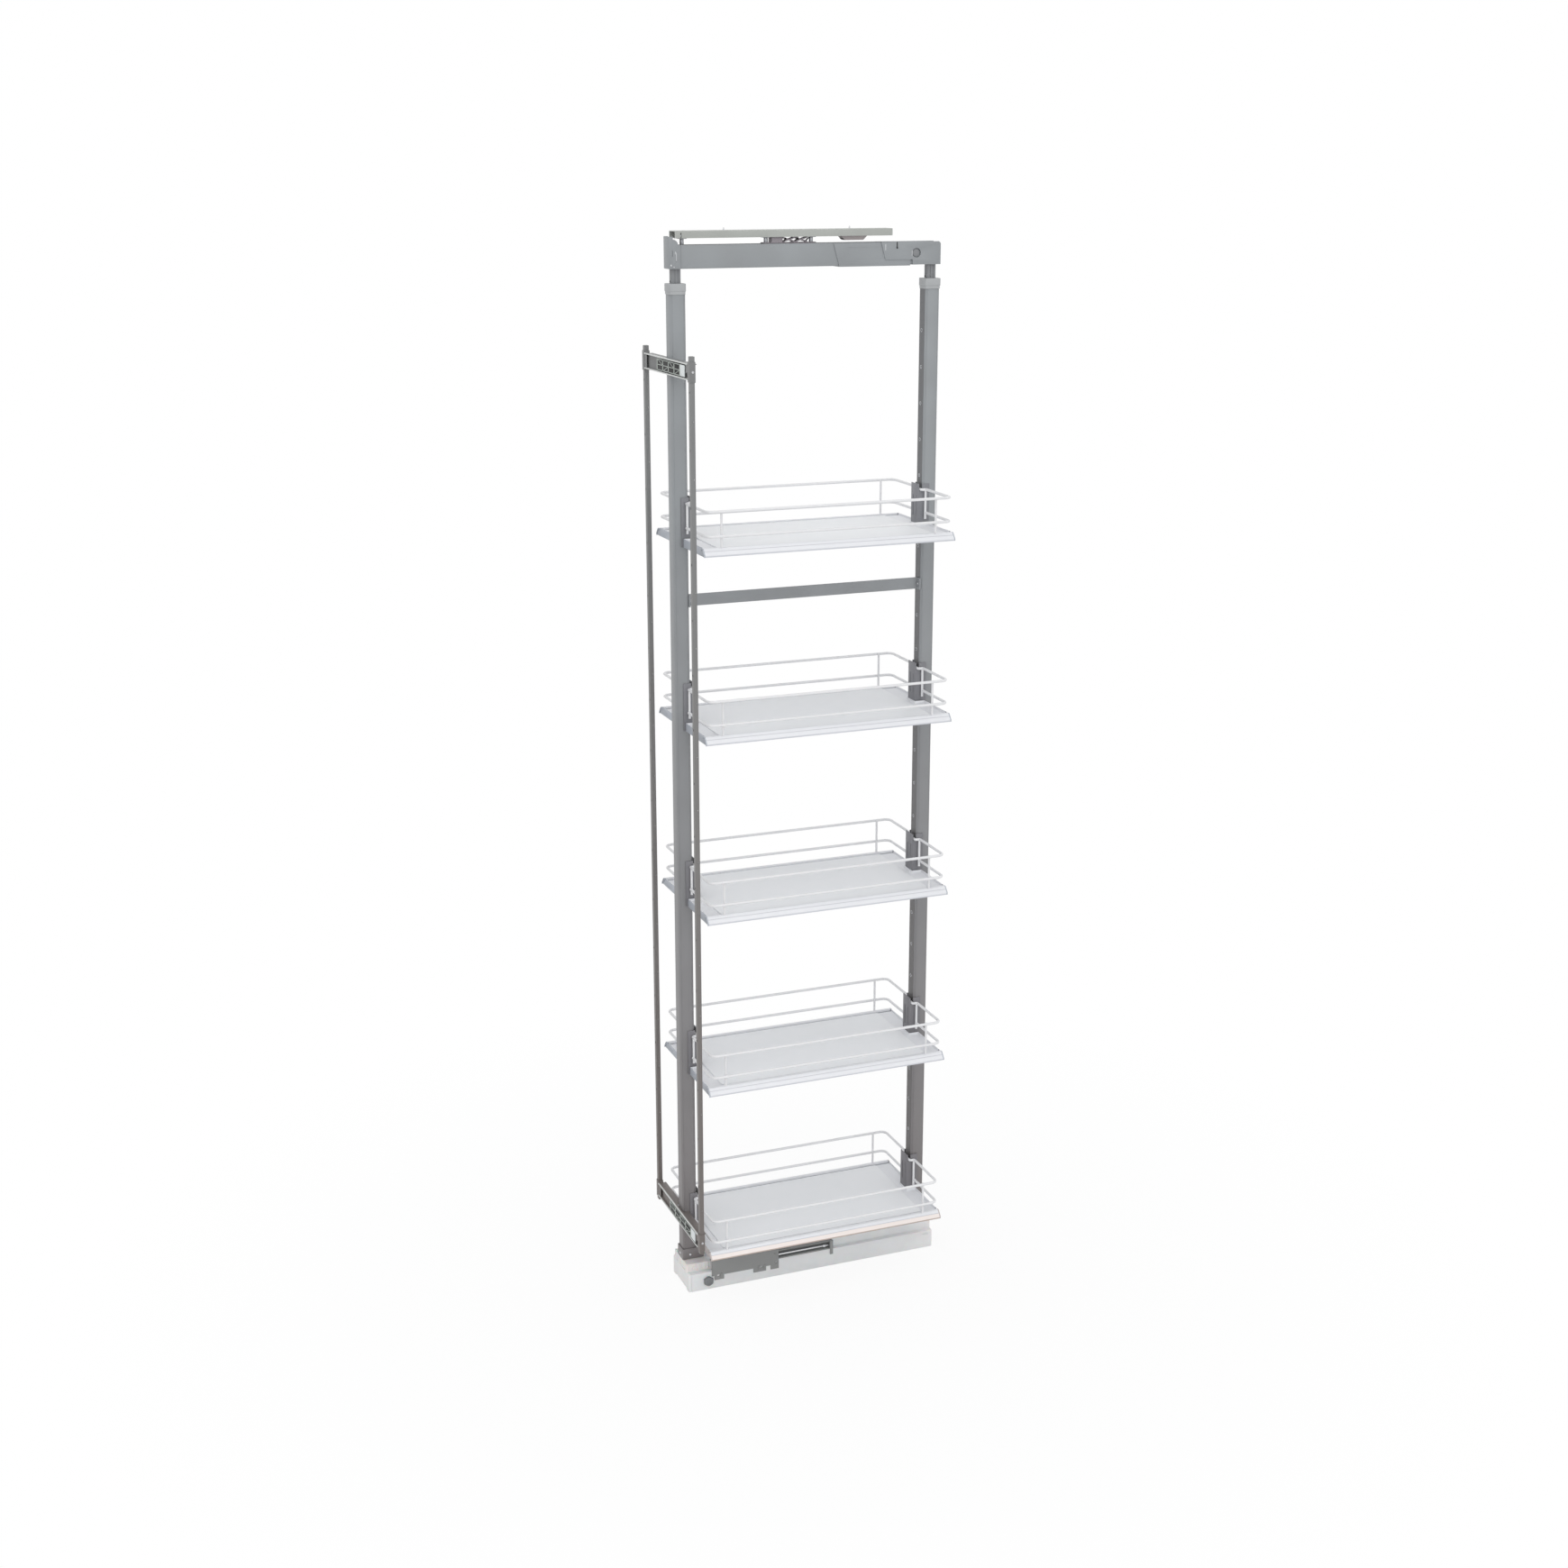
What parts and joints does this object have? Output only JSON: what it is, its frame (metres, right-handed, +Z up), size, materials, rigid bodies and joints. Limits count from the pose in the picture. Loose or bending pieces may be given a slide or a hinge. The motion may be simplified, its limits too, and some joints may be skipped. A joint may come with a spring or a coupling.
{
  "type": "pull out pantry frame",
  "caption": "Tall pull-out larder frame: two hollow posts on a floor runner, a top beam in a ceiling guide, wire-edged tray shelves and a door bracket.",
  "frame": {"origin": "middle of the floor rail's screw pattern, on the cabinet's floor", "axes": "+X to the right seen from the front, +Y to the back of the cabinet, +Z up"},
  "size_m": [0.255, 0.512, 1.957],
  "materials": {
    "runner_steel": "zinc plated",
    "nylon_wheel": "satin nylon",
    "rubber_stop": "matt",
    "housing_white": "satin",
    "frame_grey": "satin powder coat",
    "bar_grey": "satin",
    "cap_plastic": "satin",
    "rail_beige": "satin",
    "bright_steel": "polished",
    "plate_steel": "satin",
    "door_grey": "satin",
    "adjuster_black": "satin",
    "guide_plastic": "satin",
    "slide_steel": "satin",
    "tray_white": "satin white",
    "panel_grey": "matt",
    "wire_white": "satin white",
    "carrier_grey": "satin"
  },
  "bodies": {
    "floor_runner": {"floor_rail": "runner_steel", "rail_end_stop": "rubber_stop"},
    "middle_runner": {"middle_rail": "runner_steel"},
    "wheels_a": {"floor_wheels_middle": "nylon_wheel"},
    "wheels_b": {"floor_wheels_back": "nylon_wheel"},
    "wheels_c": {"carriage_wheels_front": "nylon_wheel"},
    "wheels_d": {"carriage_wheels_middle": "nylon_wheel"},
    "frame": {"carriage_rail": "runner_steel", "base_housing": "housing_white", "front_cap": "housing_white", "front_block": "housing_white", "rear_block": "housing_white", "front_foot": "frame_grey", "rear_foot": "frame_grey", "front_post": "frame_grey", "rear_post": "frame_grey", "post_caps": "cap_plastic", "cross_brace": "frame_grey", "frame_rivets": "bright_steel", "side_plate": "plate_steel", "damper_rod": "bright_steel", "door_adjusters": "adjuster_black"},
    "adjusting_screw": {"adjusting_bolt": "plate_steel"},
    "upper_frame": {"inner_bars": "bar_grey", "bar_glides": "nylon_wheel", "top_beam": "frame_grey", "beam_sleeve": "frame_grey", "front_beam_bracket": "frame_grey", "rear_beam_bracket": "frame_grey"},
    "ceiling_rail": {"top_rail": "rail_beige", "rail_screws": "bright_steel", "rail_catch": "guide_plastic"},
    "top_slide": {"slide_bar": "slide_steel", "guide_block": "guide_plastic"},
    "roller_front": {"front_guide_roller": "nylon_wheel"},
    "roller_back": {"back_guide_roller": "nylon_wheel"},
    "door_mount": {"left_door_bar": "door_grey", "right_door_bar": "door_grey", "upper_cross_bracket": "door_grey", "lower_cross_bracket": "door_grey"},
    "shelf_1": {"tray_1": "tray_white", "panel_1": "panel_grey", "gallery_1": "wire_white", "carriers_1": "carrier_grey"},
    "shelf_2": {"tray_2": "tray_white", "panel_2": "panel_grey", "gallery_2": "wire_white", "carriers_2": "carrier_grey"},
    "shelf_3": {"tray_3": "tray_white", "panel_3": "panel_grey", "gallery_3": "wire_white", "carriers_3": "carrier_grey"},
    "shelf_4": {"tray_4": "tray_white", "panel_4": "panel_grey", "gallery_4": "wire_white", "carriers_4": "carrier_grey"},
    "shelf_5": {"tray_5": "tray_white", "panel_5": "panel_grey", "gallery_5": "wire_white", "carriers_5": "carrier_grey"}
  },
  "joints": [
    {"name": "pull_out", "type": "slide", "parent": "floor_runner", "child": "frame", "axis": [0, -1, 0], "range_m": [0, 0.45]},
    {"name": "middle_travel", "type": "slide", "parent": "floor_runner", "child": "middle_runner", "axis": [0, -1, 0], "range_m": [0, 0.225]},
    {"name": "wheel_spin_a", "type": "hinge", "parent": "middle_runner", "child": "wheels_a", "pos_m": [0, 0.112, 0.0088], "axis": [1, 0, 0], "range_deg": [0, 1993]},
    {"name": "wheel_spin_b", "type": "hinge", "parent": "middle_runner", "child": "wheels_b", "pos_m": [0, 0.222, 0.0088], "axis": [1, 0, 0], "range_deg": [0, 1993]},
    {"name": "wheel_spin_c", "type": "hinge", "parent": "middle_runner", "child": "wheels_c", "pos_m": [0, -0.22, 0.0294], "axis": [1, 0, 0], "range_deg": [0, 1993]},
    {"name": "wheel_spin_d", "type": "hinge", "parent": "middle_runner", "child": "wheels_d", "pos_m": [0, -0.11, 0.0294], "axis": [1, 0, 0], "range_deg": [0, 1993]},
    {"name": "frame_height", "type": "slide", "parent": "frame", "child": "upper_frame", "axis": [0, 0, 1], "range_m": [0, 0.4]},
    {"name": "ceiling_height", "type": "slide", "parent": "floor_runner", "child": "ceiling_rail", "axis": [0, 0, 1], "range_m": [0, 0.4]},
    {"name": "top_travel", "type": "slide", "parent": "ceiling_rail", "child": "top_slide", "axis": [0, -1, 0], "range_m": [0, 0.225]},
    {"name": "roller_spin_front", "type": "hinge", "parent": "top_slide", "child": "roller_front", "pos_m": [0, -0.224, 1.922], "axis": [0, 0, 1], "range_deg": [0, 1274]},
    {"name": "roller_spin_back", "type": "hinge", "parent": "top_slide", "child": "roller_back", "pos_m": [0, 0.01, 1.922], "axis": [0, 0, 1], "range_deg": [0, 1274]},
    {"name": "adjuster_turn", "type": "hinge", "parent": "frame", "child": "adjusting_screw", "pos_m": [0.0455, -0.212, 0.019], "axis": [1, 0, 0], "range_deg": [-180, 180]},
    {"name": "door_side_adjust", "type": "slide", "parent": "frame", "child": "door_mount", "axis": [1, 0, 0], "range_m": [-0.003, 0.003]},
    {"name": "shelf_1_height", "type": "slide", "parent": "frame", "child": "shelf_1", "axis": [0, 0, 1], "range_m": [0, 0.128]},
    {"name": "shelf_2_height", "type": "slide", "parent": "frame", "child": "shelf_2", "axis": [0, 0, 1], "range_m": [-0.064, 0.128]},
    {"name": "shelf_3_height", "type": "slide", "parent": "frame", "child": "shelf_3", "axis": [0, 0, 1], "range_m": [-0.064, 0.128]},
    {"name": "shelf_4_height", "type": "slide", "parent": "frame", "child": "shelf_4", "axis": [0, 0, 1], "range_m": [-0.064, 0.128]},
    {"name": "shelf_5_height", "type": "slide", "parent": "frame", "child": "shelf_5", "axis": [0, 0, 1], "range_m": [-0.064, 0.256]}
  ],
  "couplings": [
    {"joint": "middle_travel", "follows": "pull_out", "ratio": 0.5},
    {"joint": "wheel_spin_a", "follows": "pull_out", "rad_per_m": 76.923},
    {"joint": "wheel_spin_b", "follows": "pull_out", "rad_per_m": 76.923},
    {"joint": "wheel_spin_c", "follows": "pull_out", "rad_per_m": 76.923},
    {"joint": "wheel_spin_d", "follows": "pull_out", "rad_per_m": 76.923},
    {"joint": "ceiling_height", "follows": "frame_height", "ratio": 1},
    {"joint": "top_travel", "follows": "pull_out", "ratio": 0.5},
    {"joint": "roller_spin_front", "follows": "pull_out", "rad_per_m": 49.02},
    {"joint": "roller_spin_back", "follows": "pull_out", "rad_per_m": 49.02}
  ]
}
